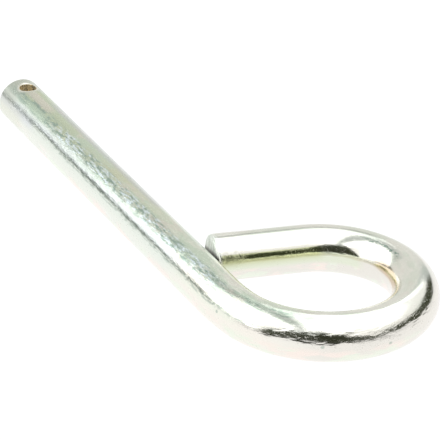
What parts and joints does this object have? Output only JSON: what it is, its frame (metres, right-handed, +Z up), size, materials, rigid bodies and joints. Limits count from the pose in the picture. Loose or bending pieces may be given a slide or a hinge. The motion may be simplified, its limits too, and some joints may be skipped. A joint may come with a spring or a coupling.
{
  "type": "hitch pin",
  "caption": "Bent-rod hitch pin: a straight shank with a cross hole near its tip, curled round into a finger loop that closes against the shank.",
  "frame": {"origin": "on the surface the pin lies on, under the middle of its bounding box", "axes": "+X along the shank from its tip to the loop, +Y to the side the loop curls to, +Z up, square to the plane of the loop"},
  "size_m": [0.156, 0.06, 0.012],
  "materials": {
    "zinc_plated_steel": "bright zinc plate with a thin yellow-green iridescent passivate, faint drawing marks along the rod and small pits"
  },
  "bodies": {
    "root": {"hitch_pin": "zinc_plated_steel"}
  },
  "joints": []
}
